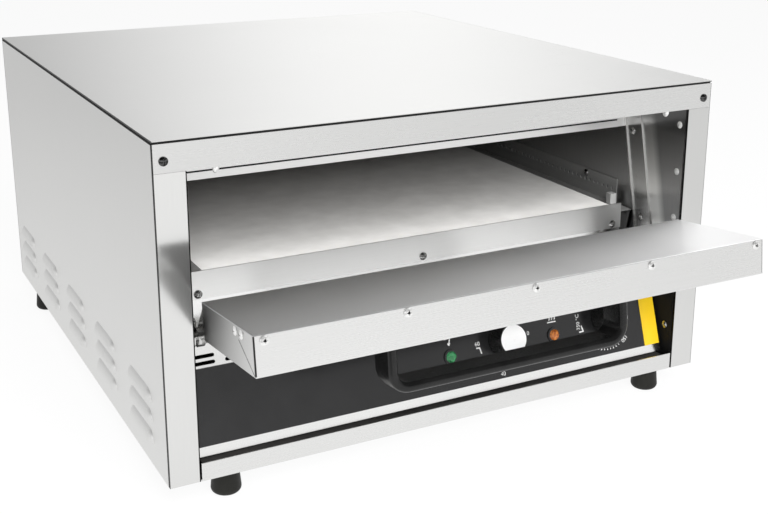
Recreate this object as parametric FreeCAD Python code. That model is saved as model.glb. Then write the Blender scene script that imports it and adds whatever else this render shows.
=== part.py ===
import FreeCAD, Part
import math
import os

# Countertop pizza oven: a folded stainless cabinet with a drop-down front door.
# Lengths are millimetres and angles degrees. X runs to the right as seen from the front,
# Y from the front to the back and Z up. The pieces are made with the cabinet's front plane
# at y = 0; at the end they all move so that the origin is the middle of the footprint box,
# on the surface that the feet stand on.

# Cabinet
cabinet_width = 580.0
cabinet_depth = 630.0
cabinet_height = 308.0
sheet = 1.2
seam = 1.4
fit = 0.3
post_width = 28.0
post_return = 22.0
post_joint = 0.2
lip_height = 27.0
lip_return = 20.0
lip_hem = 6.0
lip_tongue = 16.0
tongue_margin = 4.0
top_flange = 14.0
back_flange = 18.0
base_flange = 18.0
rail_height = 17.0
rail_end_gap = 1.2
rail_return = 26.0

# Feet
foot_height = 26.0
foot_radius = 14.0
foot_neck_radius = 12.0
foot_edge_radius = 5.0
foot_stud_radius = 3.0
foot_stud_length = 8.0
front_foot_inset = 51.5
front_foot_shift = 6.2
rear_foot_inset = 15.0
foot_front_inset = 20.3
foot_rear_inset = 76.0

# Louvres in the side panels
louvre_columns = 5
louvre_rows = 3
louvre_length = 72.0
louvre_rise = 11.0
louvre_depth = 4.5
louvre_wall = 1.0
louvre_first_y = 78.0
louvre_last_gap = 68.0
louvre_first_z = 24.0
louvre_pitch_z = 20.0

# Door, its hinge and the mouth it closes
door_side_gap = 6.5
door_top_gap = 18.3
door_thickness = 34.0
door_sheet = 1.0
door_flange = 13.0
door_filling_gap = 1.0
door_corner_gap = 1.2
door_edge_radius = 0.8
door_open_tilt = 6.3
mouth_lean = 12.8
hinge_y = 24.0
hinge_height = 125.5
hinge_back = 32.0
hinge_drop = 39.0
hinge_pin_radius = 4.0
hinge_pin_head_radius = 7.0
hinge_pin_head = 3.0
hinge_running_gap = 0.05
hinge_bush_radius = 7.0
hinge_bush_proud = 6.0
hinge_collar_radius = 9.0
arm_thickness = 3.0
arm_inset = 5.5
arm_eye_radius = 9.0
arm_foot_width = 28.0
arm_foot_top = 4.0
arm_foot_bottom = 31.0
arm_brace = 12.0
arm_tail_length = 16.0
arm_tail_below = 4.0
arm_tail_above = 5.0
stop_stud_radius = 4.0
stop_stud_back = 10.0
door_screw_count = 5
door_screw_end = 9.0
door_screw_drop = 5.2
door_end_screw_first = 24.6
door_end_screw_pitch = 13.3

# Handle on the door's outer face
handle_width = 250.0
handle_reach = 53.0
handle_bar = 9.0
handle_depth = 30.0
handle_corner_radius = 20.0
handle_edge_radius = 4.0
handle_from_free_edge = 49.7

# Mouth frame and hearth
shadow_gap = 1.6
inner_wall_above_lip = 6.0
jamb_width = 24.0
jamb_sheet = 1.5
jamb_stop = 3.0
jamb_below = 12.0
stop_gap = 0.5
jamb_screw_low = 34.0
jamb_screw_drop = 46.0
jamb_screw_setback = 8.5
header_end_gap = 12.0
header_drop = 3.3
header_height = 32.0
header_return = 14.0
hearth_top = 166.5
hearth_strip_gap = 18.0
hearth_strip_height = 27.0
hearth_strip_y = 74.0
hearth_screw_low = 5.0
hearth_screw_end = 11.0
hearth_plate_gap = 34.0
hearth_plate_thickness = 10.0
hearth_plate_back_gap = 12.0
side_rail_front = 104.5
side_rail_height = 27.0
side_rail_shelf = 38.0
side_rail_hole_radius = 2.0
side_rail_hole_pitch = 8.0
side_rail_hole_count = 30
side_rail_hole_rise = 15.0
side_rail_screw_drop = 5.0
side_rail_first_screw = 55.0
side_rail_last_screw = 125.0
side_rail_block = 7.5
side_rail_block_gap = 6.0
side_rail_block_height = 3.6

# Chamber
top_board_gap = 7.6
tray_height = 119.0
board_gap = 0.5
top_board = 36.0
back_board = 40.0
side_board = 22.0
side_board_front = 70.0
side_board_low = 30.0
bottom_board = 22.0
element_radius = 4.0
element_runs = 6
element_side_gap = 97.0
element_front_y = 130.0
element_back_gap = 30.0
element_cross = 6.0
element_tail = 8.0
element_tail_gap = 4.6
element_gap = 10.0
element_clip_size = 14.0
bush_radius = 9.0
bush_length = 24.0

# Slanted fascia, control panel and what it carries
panel_lean = 18.5
panel_foot_y = 15.6
panel_foot_height = 23.8
panel_length = 68.6
panel_side_gap = 4.0
panel_thickness = 1.0
fascia_side_gap = 3.0
fascia_lip = 8.4
fascia_top = 92.2
vent_columns = 17
vent_end_gap = 7.0
vent_gap = 9.4
vent_slot = 3.4
vent_rows = (72.7, 78.8)
yellow_width = 19.0
yellow_length = 53.0
yellow_thickness = 0.3
timer_from_end = 191.3
thermostat_from_end = 65.5
knob_rise = 38.8
knob_radius = 17.0
knob_height = 20.0
knob_taper = 1.0
knob_gap = 0.6
knob_rib_count = 24
knob_rib_depth = 0.7
knob_rib_end = 2.0
knob_cap_radius = 14.5
knob_cap_height = 1.2
knob_cap_seat = 0.6
knob_pointer_width = 1.6
knob_pointer_depth = 0.7
shaft_radius = 3.0
shaft_running_gap = 0.06
shaft_in_knob = 12.0
shaft_in_body = 14.0
control_body_size = 44.0
control_body_depth = 34.0
control_neck_radius = 5.0
green_lamp_from_end = 253.0
amber_lamp_from_end = 131.0
lamp_rise = 32.0
lamp_bezel_radius = 7.4
lamp_bezel_height = 1.6
lamp_seat = 0.4
lamp_lens_radius = 5.6
lamp_lens_height = 4.6
lamp_body_radius = 5.0
lamp_body_length = 26.0
bulb_radius = 3.0
bulb_length = 80.0
capillary_radius = 1.0
capillary_hole_gap = 1.0
capillary_offset = 9.0
capillary_bend = 12.0
capillary_run = 38.0
capillary_level = 24.0
bulb_height = 140.0

# Supply entry
gland_from_side = 90.0
gland_rise = 34.0
gland_thread_radius = 9.5
gland_bore_radius = 5.0
gland_nut_radius = 14.0
gland_nut_length = 6.0
gland_dome_radius = 11.0
gland_dome_length = 13.0
terminal_width = 60.0
terminal_depth = 24.0
terminal_height = 20.0
terminal_from_back = 110.0
terminal_bays = 3
terminal_wall = 2.0
terminal_floor = 9.0

# Screws and rivets
screw_radius = 2.0
screw_hole_gap = 0.1
screw_head_radius = 4.0
screw_head_height = 2.3
screw_head_rim = 0.7
screw_cross_width = 0.9
screw_cross_length = 4.6
screw_cross_depth = 1.1
lip_screw_inset = 9.0
lip_screw_drop = 17.0
rivet_radius = 1.6
rivet_head_radius = 3.6
rivet_head_height = 1.4
wall_rivet_y = 10.7
wall_rivet_drop = 18.0
wall_rivet_pitch = 49.0
wall_rivet_count = 3
wall_screw_y = 13.0
wall_screw_height = 45.0
back_screw_inset = 9.0
back_screw_rise = 40.0

V = FreeCAD.Vector
FORWARD = V(0, -1, 0)
BACKWARD = V(0, 1, 0)
UP = V(0, 0, 1)
DOWN = V(0, 0, -1)
RIGHT = V(1, 0, 0)
LEFT = V(-1, 0, 0)

# Places that several pieces share
base = foot_height
top = base + cabinet_height
half_width = cabinet_width / 2
wall_in = half_width - post_width
wall_out = wall_in + sheet
lip_bottom = top - lip_height
roof = top - sheet
hinge_z = base + hinge_height
back_face = cabinet_depth - sheet
chamber_rear = back_face - element_tail_gap - element_tail - back_board
chamber_back_y = chamber_rear - sheet
ceiling_top = roof - top_board_gap - top_board
ceiling_z = ceiling_top - sheet
gland_x = half_width - gland_from_side
panel_half = wall_in - panel_side_gap
screw_hole = screw_radius + screw_hole_gap
nodes = {}


def block(x, y, z):
    """Box between the low and high ends of three ranges."""
    return Part.makeBox(x[1] - x[0], y[1] - y[0], z[1] - z[0], V(x[0], y[0], z[0]))


def prism(outline, x_low, x_high):
    """Straight-sided outline in (y, z), carried along X."""
    corners = [V(x_low, y, z) for y, z in outline]
    return Part.Face(Part.makePolygon(corners + corners[:1])).extrude(V(x_high - x_low, 0, 0))


def rod(start, direction, radius, length):
    """Round bar from a point along a direction."""
    return Part.makeCylinder(radius, length, start, direction)


def joined(shapes):
    """Touching shapes as one solid."""
    return shapes[0].fuse(shapes[1:]).removeSplitter()


def drilled(shape, points, direction, radius, depth):
    """Shape with round holes, each centred on its point and reaching depth both ways."""
    holes = [rod(p - direction * depth, direction, radius, 2 * depth) for p in points]
    return shape.cut(holes)


def other_side(shape):
    """The same piece for the left-hand side."""
    return shape.mirror(V(0, 0, 0), RIGHT)


def both_sides(shape):
    """A right-hand piece and its twin on the left."""
    return [shape, other_side(shape)]


def set_on(shape, point, direction):
    """Copy of a shape made on the Z axis, set at a point with Z turned to a direction."""
    copy = shape.copy()
    turn = FreeCAD.Placement(point, FreeCAD.Rotation(UP, direction))
    copy.Placement = turn.multiply(copy.Placement)
    return copy


def leaned(shape, angle, y, z):
    """Shape made upright at the origin, leaned back about X and moved to (y, z)."""
    copy = shape.copy()
    copy.rotate(V(0, 0, 0), RIGHT, -angle)
    copy.translate(V(0, y, z))
    return copy


def lean_point(x, y, z, angle, at_y, at_z):
    """Where a point goes that is leaned and moved as its shape is."""
    a = math.radians(angle)
    return V(x, at_y + y * math.cos(a) + z * math.sin(a), at_z - y * math.sin(a) + z * math.cos(a))


def spun(outline, joints):
    """Outline in (radius, z) turned about the Z axis. A joint is None for a straight side,
    or the point that an arc passes through on its way to the next corner."""
    corners = [V(r, 0, z) for r, z in outline]
    edges = []
    for index, through in enumerate(joints):
        start = corners[index]
        end = corners[(index + 1) % len(corners)]
        if through is None:
            edges.append(Part.LineSegment(start, end).toShape())
        else:
            edges.append(Part.Arc(start, V(through[0], 0, through[1]), end).toShape())
    return Part.Face(Part.Wire(edges)).revolve(V(0, 0, 0), UP, 360)


def crowned(radius, rim, height):
    """Round disc on z = 0 with a straight rim and a crowned top."""
    crown = height - rim
    ball = (radius ** 2 + crown ** 2) / (2 * crown)
    middle = (radius / 2, height - ball + math.sqrt(ball ** 2 - radius ** 2 / 4))
    return spun([(0, 0), (radius, 0), (radius, rim), (0, height)], [None, None, middle, None])


def pan_screw(length):
    """Pan-head screw with a cross recess."""
    head = crowned(screw_head_radius, screw_head_rim, screw_head_height)
    long = screw_cross_length / 2
    thin = screw_cross_width / 2
    deep = (screw_head_height - screw_cross_depth, 2 * screw_head_height)
    cross = [block((-long, long), (-thin, thin), deep), block((-thin, thin), (-long, long), deep)]
    return joined([head.cut(cross), rod(V(0, 0, 0), DOWN, screw_radius, length)])


def rivet(length):
    """Low dome head on a short shank."""
    head = crowned(rivet_head_radius, rivet_head_height / 3, rivet_head_height)
    return joined([head, rod(V(0, 0, 0), DOWN, rivet_radius, length)])


# Top panel: a flat lid with a turned-down flange inside each side panel
top_sheet = block((-half_width, half_width), (0, cabinet_depth), (roof, top))
flange_out = half_width - sheet
flange_in = flange_out - sheet
back_flange_front = cabinet_depth - sheet - back_flange
top_side_flange = block((flange_in, flange_out), (post_return, back_flange_front - fit),
                        (roof - top_flange, roof))
nodes["top_panel"] = joined([top_sheet] + both_sides(top_side_flange))

# Front lip under the top panel's front edge, screwed to a tongue on each post
lip_top = roof - seam
lip_screw_x = half_width - lip_screw_inset
lip_screw_points = [V(hand * lip_screw_x, 0, top - lip_screw_drop) for hand in (-1, 1)]
lip = joined([
    block((-half_width, half_width), (0, sheet), (lip_bottom, lip_top)),
    block((-flange_in + fit, flange_in - fit), (sheet, lip_return), (lip_top - sheet, lip_top)),
    block((-wall_in, wall_in), (sheet, lip_hem), (lip_bottom, lip_bottom + sheet))])
nodes["front_lip"] = drilled(lip, lip_screw_points, BACKWARD, screw_hole, 3 * sheet)

# Posts: channels folded from sheet, open to the back
post_bottom = base + sheet + fit
post_top = lip_bottom - post_joint
post = joined([
    block((wall_in, half_width), (0, sheet), (base, post_top)),
    block((flange_in, flange_out), (sheet, post_return), (post_bottom, post_top)),
    block((wall_out, wall_out + sheet), (sheet, post_return), (post_bottom, post_top)),
    block((wall_in + tongue_margin, half_width - tongue_margin), (sheet, 2 * sheet),
          (post_top - lip_tongue, lip_top - sheet - tongue_margin))])
wall_rivet_points = [V(wall_in, wall_rivet_y, lip_bottom - wall_rivet_drop - step * wall_rivet_pitch)
                     for step in range(wall_rivet_count)]
wall_screw_point = V(wall_in, wall_screw_y, base + wall_screw_height)
rivet_hole = rivet_radius + screw_hole_gap
post = drilled(post, lip_screw_points, BACKWARD, screw_hole, 3 * sheet)
post = drilled(post, wall_rivet_points, RIGHT, rivet_hole, 3 * sheet)
post = drilled(post, [wall_screw_point], RIGHT, screw_hole, 3 * sheet)
nodes["right_post"] = post
nodes["left_post"] = other_side(post)
nodes["lip_screws"] = Part.makeCompound(
    [set_on(pan_screw(3 * sheet), point, FORWARD) for point in lip_screw_points])


# Side panels with rows of pressed louvres, each open along its lower edge
def louvre_form(inset):
    """Upper half of a flattened bulge with round ends, set in from its outer skin."""
    ball = (louvre_rise ** 2 + louvre_depth ** 2) / (2 * louvre_depth)
    centre_x = half_width + louvre_depth - ball
    straight = louvre_length - 2 * louvre_rise
    radius = ball - inset
    start = V(centre_x, -straight / 2, 0)
    end = V(centre_x, straight / 2, 0)
    capsule = joined([rod(start, BACKWARD, radius, straight),
                      Part.makeSphere(radius, start), Part.makeSphere(radius, end)])
    outside = block((half_width - sheet / 2, half_width + ball), (-louvre_length, louvre_length), (0, ball))
    return capsule.common(outside)


louvre_pitch_y = (cabinet_depth - louvre_first_y - louvre_last_gap) / (louvre_columns - 1)
louvre_columns_y = [louvre_first_y + column * louvre_pitch_y for column in range(louvre_columns)]
louvre_rows_z = [base + louvre_first_z + row * louvre_pitch_z for row in range(louvre_rows)]
louvre_places = [V(0, y, z) for y in louvre_columns_y for z in louvre_rows_z]
louvre_hood = louvre_form(0)
louvre_hollow = louvre_form(louvre_wall)
louvre_slot_half = louvre_length / 2 - louvre_rise
louvre_slot = block((half_width - 2 * sheet, half_width), (-louvre_slot_half, louvre_slot_half),
                    (0, louvre_rise / 2))
side = block((flange_out, half_width), (sheet + seam, cabinet_depth - sheet - seam), (base, roof - seam))
side = side.fuse([louvre_hood.translated(place) for place in louvre_places])
side = side.cut([louvre_hollow.translated(place) for place in louvre_places])
side = side.cut([louvre_slot.translated(place) for place in louvre_places])
nodes["right_side_panel"] = side
nodes["left_side_panel"] = other_side(side)

# Back panel with a flange inside each side panel and the hole for the cable gland
back_panel = joined([
    block((-half_width, half_width), (back_face, cabinet_depth), (base, roof))] + both_sides(
    block((flange_in, flange_out), (back_flange_front, back_face), (post_bottom, roof - fit))))
gland_centre = V(gland_x, cabinet_depth, base + gland_rise)
back_screw_x = half_width - back_screw_inset
back_screw_points = [V(x, cabinet_depth, z) for x in (-back_screw_x, 0, back_screw_x)
                     for z in (base + back_screw_rise, top - back_screw_rise)]
back_panel = drilled(back_panel, [gland_centre], BACKWARD, gland_thread_radius + fit, 3 * sheet)
nodes["back_panel"] = drilled(back_panel, back_screw_points, BACKWARD, screw_hole, 3 * sheet)

# Base pan with a flange up each side panel, and the bottom rail across the front
rear_foot_y = cabinet_depth - foot_rear_inset
foot_points = [V(hand * x + shift, y, base) for hand in (-1, 1)
               for x, y, shift in ((half_width - front_foot_inset, foot_front_inset, front_foot_shift),
                                   (half_width - rear_foot_inset, rear_foot_y, 0))]
base_pan = joined([
    block((-flange_out, flange_out), (sheet, back_face), (base, base + sheet))] + both_sides(
    block((flange_in, flange_out), (post_return + fit, back_flange_front - fit),
          (base + sheet, base + base_flange))))
foot_hole = foot_stud_radius + screw_hole_gap
nodes["base_pan"] = drilled(base_pan, foot_points, UP, foot_hole, 3 * sheet)
rail_half = wall_in - rail_end_gap
bottom_rail = joined([
    block((-rail_half, rail_half), (0, sheet), (base, base + rail_height)),
    block((-rail_half, rail_half), (sheet, rail_return), (base + sheet, 2 * sheet + base))])
nodes["bottom_rail"] = drilled(bottom_rail, foot_points, UP, foot_hole, 3 * sheet)

# Rubber feet, a little wider at the bottom, each with a moulded stud through the base pan,
# and at the front also through the bottom rail
corner = foot_edge_radius * (1 - math.sqrt(0.5))
foot = spun([(0, 0), (foot_radius - foot_edge_radius, 0), (foot_radius, foot_edge_radius),
             (foot_neck_radius, foot_height), (foot_stud_radius, foot_height),
             (foot_stud_radius, foot_height + foot_stud_length), (0, foot_height + foot_stud_length)],
            [None, (foot_radius - corner, corner), None, None, None, None, None])
nodes["feet"] = Part.makeCompound([foot.translated(point - UP * base) for point in foot_points])

# Inner walls: one sheet each side from the post to the chamber's back
wall_front = sheet + shadow_gap
wall_top = lip_bottom + inner_wall_above_lip
inner_wall = block((wall_in, wall_out), (wall_front, chamber_back_y + sheet), (base + sheet, wall_top))


# The mouth leans back. Its frame is measured from the hinge axis: y = 0 is the closed door's
# inner face and z runs up along that face from the hinge
mouth_origin = lean_point(0, hinge_drop, 0, mouth_lean, hinge_y, hinge_z)


def in_mouth(shape):
    """Piece made upright against the closed door's inner face."""
    return leaned(shape, mouth_lean, mouth_origin.y, mouth_origin.z)


def mouth_point(x, y, z):
    """Point on the leaning mouth frame."""
    return lean_point(x, y, z, mouth_lean, mouth_origin.y, mouth_origin.z)


def mouth_y_at(depth, z):
    """How far back the plane at a depth behind the closed door's inner face is, at a height."""
    lean = math.radians(mouth_lean)
    return mouth_origin.y + depth / math.cos(lean) + (z - mouth_origin.z) * math.tan(lean)


def mouth_rise_at(z):
    """How far up the mouth frame a height is."""
    return (z - mouth_origin.z) / math.cos(math.radians(mouth_lean))


jamb_top = mouth_rise_at(wall_top) - jamb_sheet
jamb_in = wall_in - jamb_sheet
jamb_back = stop_gap + jamb_sheet
jamb_screw_points = [mouth_point(jamb_in, -jamb_screw_setback, z)
                     for z in (jamb_screw_low, jamb_top - jamb_screw_drop)]
jamb = in_mouth(joined([
    block((jamb_in, wall_in), (stop_gap - jamb_width, stop_gap), (jamb_below, jamb_top)),
    block((wall_in - jamb_stop, wall_in), (stop_gap, jamb_back), (jamb_below, jamb_top))]))
jamb = drilled(jamb, jamb_screw_points, RIGHT, screw_hole, 2 * jamb_sheet)
nodes["right_jamb"] = jamb
nodes["left_jamb"] = other_side(jamb)

# Header strip over the mouth, with a tab behind each jamb and a return along its upper edge
header_half = wall_in - header_end_gap
header_top = mouth_rise_at(lip_bottom) - header_drop
header_low = header_top - header_height
header_back = jamb_back + fit + sheet
header_tab = block((header_half, wall_in - fit), (jamb_back + fit, header_back), (header_low, header_top))
nodes["header_strip"] = in_mouth(joined([
    block((-header_half, header_half), (stop_gap, header_back), (header_low, header_top)),
    block((-header_half, header_half), (stop_gap, header_return), (header_top - sheet, header_top))]
    + both_sides(header_tab)))

# Fascia: one folded sheet with the slanted front, a ledge and an upstand behind the hearth strip
panel_foot_z = base + panel_foot_height


def on_panel(shape):
    """Piece made with the control panel's face at y = 0 and its lower edge at z = 0."""
    return leaned(shape, panel_lean, panel_foot_y, panel_foot_z)


def panel_point(x, depth, rise):
    """Point at a depth behind the control panel's face and a rise along it."""
    return lean_point(x, depth, rise, panel_lean, panel_foot_y, panel_foot_z)


panel_inward = panel_point(0, 1, 0) - panel_point(0, 0, 0)
panel_outward = panel_inward * -1
fascia_back = panel_thickness + sheet
fascia_half = wall_in - fascia_side_gap
ledge_half = wall_in - fit
fascia_bend = panel_point(0, panel_thickness, fascia_top)
ledge_z = fascia_bend.z
upstand_y = hearth_strip_y + sheet
strip_bottom = base + hearth_top - hearth_strip_height
upstand_top = base + hearth_top - hearth_plate_thickness - fit
thermostat_x = panel_half - thermostat_from_end
knob_centres = {"timer": panel_point(panel_half - timer_from_end, 0, knob_rise),
                "thermostat": panel_point(thermostat_x, 0, knob_rise)}
lamp_centres = {"green": panel_point(panel_half - green_lamp_from_end, 0, lamp_rise),
                "amber": panel_point(panel_half - amber_lamp_from_end, 0, lamp_rise)}
slanted = on_panel(block((-fascia_half, fascia_half), (panel_thickness, panel_thickness + sheet),
                         (-fascia_lip, fascia_top)))
vent_half = fascia_half - vent_end_gap
vent_pitch = (2 * vent_half + vent_gap) / vent_columns
vent_run = vent_pitch - vent_gap - vent_slot
vent_radius = vent_slot / 2
vent = joined([
    block((0, vent_run), (0, 4 * sheet), (-vent_radius, vent_radius)),
    rod(V(0, 0, 0), BACKWARD, vent_radius, 4 * sheet),
    rod(V(vent_run, 0, 0), BACKWARD, vent_radius, 4 * sheet)])
vent_starts = [column * vent_pitch - vent_half + vent_radius for column in range(vent_columns)]
vents = [on_panel(vent.translated(V(x, -sheet, rise))) for x in vent_starts for rise in vent_rows]
ledge = block((-ledge_half, ledge_half), (fascia_bend.y, upstand_y + sheet), (ledge_z - sheet, ledge_z))
upstand = block((-ledge_half, ledge_half), (upstand_y, upstand_y + sheet), (ledge_z, upstand_top))
fascia = joined([slanted.cut(vents), ledge, upstand])
control_hole = control_neck_radius + fit
lamp_hole = lamp_body_radius + fit
fascia = drilled(fascia, knob_centres.values(), panel_inward, control_hole, 6 * sheet)
fascia = drilled(fascia, lamp_centres.values(), panel_inward, lamp_hole, 6 * sheet)

# Hearth strip screwed to the upstand
strip_half = wall_in - hearth_strip_gap
hearth_screw_x = strip_half - hearth_screw_end
hearth_screw_points = [V(x, hearth_strip_y, strip_bottom + hearth_screw_low)
                       for x in (-hearth_screw_x, 0, hearth_screw_x)]
hearth_strip = block((-strip_half, strip_half), (hearth_strip_y, upstand_y),
                     (strip_bottom, base + hearth_top))
nodes["hearth_strip"] = drilled(hearth_strip, hearth_screw_points, BACKWARD, screw_hole, 3 * sheet)
nodes["fascia"] = drilled(fascia, hearth_screw_points, BACKWARD, screw_hole, 3 * sheet)

# Side rails: an angle on each inner wall whose shelf carries the hearth plate
shelf_top = base + hearth_top - hearth_plate_thickness
rail_in = wall_in - sheet
rail_top = shelf_top + side_rail_height
shelf_front = upstand_y + sheet + fit
rail_block_out = rail_in - side_rail_block_gap
rail_block_top = shelf_top + hearth_plate_thickness + side_rail_block_height
rail_hole_steps = [side_rail_hole_pitch * (step + 1) for step in range(side_rail_hole_count)]
rail_holes = [V(rail_in, side_rail_front + step, shelf_top + side_rail_hole_rise) for step in rail_hole_steps]
rail_screw_z = rail_top - side_rail_screw_drop
rail_screw_points = [V(rail_in, side_rail_front + side_rail_first_screw, rail_screw_z),
                     V(rail_in, chamber_back_y - side_rail_last_screw, rail_screw_z)]
rail = joined([
    block((rail_in, wall_in), (side_rail_front, chamber_back_y), (shelf_top - sheet, rail_top)),
    block((wall_in - side_rail_shelf, rail_in), (shelf_front, chamber_back_y),
          (shelf_top - sheet, shelf_top)),
    block((rail_block_out - side_rail_block, rail_block_out),
          (side_rail_front - side_rail_block, side_rail_front), (shelf_top, rail_block_top))])
rail = drilled(rail, rail_holes, RIGHT, side_rail_hole_radius, sheet + fit)
rail = drilled(rail, rail_screw_points, RIGHT, screw_hole, 2 * sheet)
nodes["right_rail"] = rail
nodes["left_rail"] = other_side(rail)

# Hearth plate lying on both shelves
hearth_half = wall_in - hearth_plate_gap
hearth_y = (upstand_y, chamber_back_y - hearth_plate_back_gap)
nodes["hearth_plate"] = block((-hearth_half, hearth_half), hearth_y, (shelf_top, base + hearth_top))

# Chamber ceiling, back and the tray under the lower element
tray_z = base + tray_height
ceiling_front = mouth_y_at(header_back, ceiling_top) + fit
nodes["chamber_ceiling"] = block((-wall_in, wall_in), (ceiling_front, chamber_back_y),
                                 (ceiling_z, ceiling_top))
capillary_x = thermostat_x + capillary_offset
capillary_start = panel_point(capillary_x, fascia_back + control_body_depth, knob_rise)
capillary_turn = capillary_start + panel_inward * capillary_run
capillary_up = V(capillary_x, capillary_turn.y, tray_z)
capillary_hole = capillary_radius + capillary_hole_gap
tray_bottom = tray_z - sheet
tray = block((-wall_in, wall_in), (shelf_front, chamber_back_y), (tray_bottom, tray_z))
nodes["lower_tray"] = drilled(tray, [capillary_up], UP, capillary_hole, 3 * sheet)

# Heating elements: one rod each, bent back and forth with both ends out through the back
upper_z = ceiling_z - element_gap - element_radius
lower_z = tray_z + element_gap + element_radius
element_half = wall_in - element_side_gap
element_pitch = 2 * element_half / (element_runs - 1)
element_run_x = [step * element_pitch - element_half for step in range(element_runs)]
element_rear_y = chamber_back_y - element_back_gap


def rounded_path(points, bend):
    """Wire through the points, with each corner turned by an arc of one radius."""
    edges = []
    here = points[0]
    for before, corner, after in zip(points, points[1:], points[2:]):
        to_before = (before - corner).normalize()
        to_after = (after - corner).normalize()
        half_angle = to_before.getAngle(to_after) / 2
        reach = bend / math.tan(half_angle)
        crown = (to_before + to_after).normalize() * (bend / math.sin(half_angle) - bend)
        edges.append(Part.LineSegment(here, corner + to_before * reach).toShape())
        here = corner + to_after * reach
        edges.append(Part.Arc(corner + to_before * reach, corner + crown, here).toShape())
    edges.append(Part.LineSegment(here, points[-1]).toShape())
    return Part.Wire(edges)


def bent_rod(points, bend, radius):
    """Round rod along a rounded path."""
    section = Part.Wire(Part.Circle(points[0], points[1] - points[0], radius).toShape())
    return rounded_path(points, bend).makePipeShell([section], True, False)


def element(z):
    """Rod bent back and forth, with both ends out at the back."""
    tail_y = chamber_rear + back_board + element_tail
    points = []
    for index, x in enumerate(element_run_x):
        run = [V(x, element_rear_y, z), V(x, element_front_y, z)]
        points += run if index % 2 == 0 else run[::-1]
    points[0].y = tail_y
    points[-1].y = tail_y
    return bent_rod(points, (element_pitch - element_cross) / 2, element_radius)


nodes["upper_element"] = element(upper_z)
nodes["lower_element"] = element(lower_z)

# Clips: lugs that hang the upper element from the ceiling and stand the lower one on the tray
clip_hole = element_radius + fit
clip_half = element_clip_size / 2
element_clip_y = (element_front_y + element_rear_y) / 2
clip_y = (element_clip_y - clip_half, element_clip_y + clip_half)
clips = []
for x in element_run_x:
    hung = block((x - clip_half, x + clip_half), clip_y, (upper_z - clip_half, ceiling_z))
    stood = block((x - clip_half, x + clip_half), clip_y, (tray_z, lower_z + clip_half))
    clips.append(drilled(hung, [V(x, element_clip_y, upper_z)], BACKWARD, clip_hole, element_clip_size))
    clips.append(drilled(stood, [V(x, element_clip_y, lower_z)], BACKWARD, clip_hole, element_clip_size))
nodes["element_clips"] = Part.makeCompound(clips)

# Ceramic bushes round the element ends, set in the chamber's back and the board behind it
element_end_x = (element_run_x[0], element_run_x[-1])
element_ends = [V(x, chamber_back_y, z) for x in element_end_x for z in (upper_z, lower_z)]
ceramic = rod(V(0, 0, 0), UP, bush_radius, bush_length).cut(rod(V(0, 0, 0), UP, clip_hole, bush_length))
nodes["element_bushes"] = Part.makeCompound([set_on(ceramic, point, BACKWARD) for point in element_ends])
chamber_back = block((-wall_in, wall_in), (chamber_back_y, chamber_rear), (tray_bottom, ceiling_top))
nodes["chamber_back"] = drilled(chamber_back, element_ends, BACKWARD, bush_radius + fit, 3 * sheet)

# Insulation boards round the chamber
board_half = wall_in - board_gap
top_board_front = mouth_point(0, header_return, header_top).y + board_gap
nodes["top_insulation"] = block((-board_half, board_half), (top_board_front, chamber_rear),
                                (ceiling_top, ceiling_top + top_board))
back_insulation = block((-board_half, board_half), (chamber_rear, chamber_rear + back_board),
                        (tray_bottom, ceiling_top))
nodes["back_insulation"] = drilled(back_insulation, element_ends, BACKWARD, bush_radius + fit, 2 * back_board)
side_insulation = block((wall_out, wall_out + side_board), (side_board_front, chamber_rear),
                        (base + side_board_low, wall_top))
nodes["side_insulation"] = Part.makeCompound(both_sides(side_insulation))
bottom_insulation = block((-board_half, board_half), (shelf_front, chamber_back_y),
                          (tray_bottom - bottom_board, tray_bottom))
nodes["bottom_insulation"] = drilled(bottom_insulation, [capillary_up], UP, capillary_hole, 2 * bottom_board)

# Black control panel laid on the fascia, and the plain yellow strip at its right-hand end
panel = on_panel(block((-panel_half, panel_half), (0, panel_thickness), (0, panel_length)))
panel = drilled(panel, knob_centres.values(), panel_inward, control_hole, 4 * sheet)
nodes["control_panel"] = drilled(panel, lamp_centres.values(), panel_inward, lamp_hole, 4 * sheet)
nodes["yellow_strip"] = on_panel(
    block((panel_half - yellow_width, panel_half), (-yellow_thickness, 0), (0, yellow_length)))


# Timer and thermostat: a body behind the fascia, a shaft that turns in its neck, a knob and a cap
def control_body(centre):
    """Switch body with a round neck through the fascia, bored for the shaft."""
    half = control_body_size / 2
    body = joined([block((-half, half), (-half, half), (fascia_back, fascia_back + control_body_depth)),
                   rod(V(0, 0, 0), UP, control_neck_radius, fascia_back)])
    body = drilled(body, [V(0, 0, 0)], UP, shaft_radius + shaft_running_gap, fascia_back + shaft_in_body)
    return set_on(body, centre, panel_inward)


def control_shaft(centre):
    """Round shaft from inside the body to inside the knob."""
    inner = fascia_back + shaft_in_body - fit
    length = inner + knob_gap + shaft_in_knob
    return rod(centre + panel_inward * inner, panel_outward, shaft_radius, length)


def knob(centre):
    """Tapered grip with flutes round it, a seat for the cap and a pointer groove up its side."""
    tip_radius = knob_radius - knob_taper
    grip = spun([(0, 0), (knob_radius, 0), (tip_radius, knob_height), (0, knob_height)], [None] * 4)
    flute = rod(V(knob_radius + knob_rib_depth, 0, 0), UP, 2 * knob_rib_depth, knob_height - knob_rib_end)
    for step in range(knob_rib_count):
        cutter = flute.copy()
        cutter.rotate(V(0, 0, 0), UP, 360 * (step + 0.5) / knob_rib_count)
        grip = grip.cut(cutter)
    pointer = block((-knob_pointer_width / 2, knob_pointer_width / 2),
                    (tip_radius - knob_pointer_depth, knob_radius), (0, knob_height))
    grip = grip.cut([pointer, rod(V(0, 0, knob_height - knob_cap_seat), UP, knob_cap_radius, knob_cap_seat),
                     rod(V(0, 0, 0), UP, shaft_radius, shaft_in_knob)])
    return set_on(grip, centre + panel_outward * knob_gap, panel_outward)


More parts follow.
